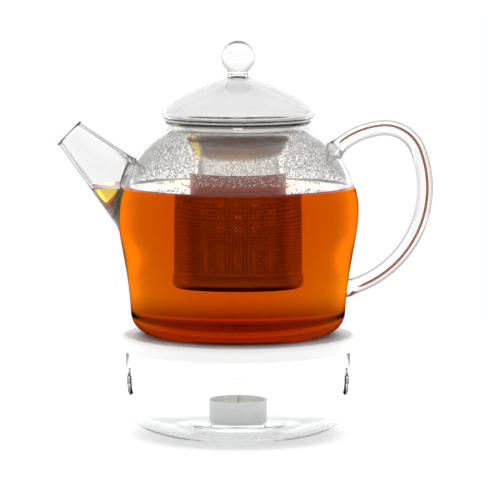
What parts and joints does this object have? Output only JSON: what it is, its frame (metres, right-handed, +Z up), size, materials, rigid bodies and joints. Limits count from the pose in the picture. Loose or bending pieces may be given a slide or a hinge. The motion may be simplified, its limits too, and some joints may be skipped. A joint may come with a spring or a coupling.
{
  "type": "glass teapot with infuser on warmer",
  "caption": "Round clear glass teapot with conical spout, rod handle, steel infuser and domed ball-topped lid, filled with tea, on a glass tealight warmer.",
  "frame": {"origin": "centre of the warmer's foot, on the table", "axes": "+Z up along the pot's axis, handle towards +X, spout towards -X"},
  "size_m": [0.2402, 0.1542, 0.2528],
  "materials": {
    "clear_glass": "gloss",
    "satin_steel": "satin",
    "polished_steel": "satin",
    "foil": "satin",
    "tin": "satin",
    "wax": "satin",
    "cotton": "matte",
    "tea": "gloss"
  },
  "bodies": {
    "warmer": {"warmer_bowl": "clear_glass"},
    "tealight": {"tealight_cup": "foil", "tealight_wax": "wax", "tealight_tab": "tin", "tealight_wick": "cotton"},
    "plate": {"warmer_plate": "satin_steel"},
    "pot": {"pot_body": "clear_glass", "spout": "clear_glass", "handle": "clear_glass", "tea": "tea"},
    "infuser": {"infuser_collar": "polished_steel", "infuser_wall": "polished_steel", "infuser_base": "polished_steel"},
    "lid": {"lid_dome": "clear_glass", "lid_skirt": "clear_glass", "lid_knob": "clear_glass"}
  },
  "joints": [
    {"name": "tealight_lift", "type": "slide", "parent": "warmer", "child": "tealight", "axis": [0, 0, 1], "range_m": [0, 0.03]},
    {"name": "plate_lift", "type": "slide", "parent": "warmer", "child": "plate", "axis": [0, 0, 1], "range_m": [0, 0.06]},
    {"name": "pot_lift", "type": "slide", "parent": "plate", "child": "pot", "axis": [0, 0, 1], "range_m": [0, 0.08]},
    {"name": "infuser_lift", "type": "slide", "parent": "pot", "child": "infuser", "axis": [0, 0, 1], "range_m": [0, 0.12]},
    {"name": "lid_lift", "type": "slide", "parent": "infuser", "child": "lid", "axis": [0, 0, 1], "range_m": [0, 0.06]}
  ]
}
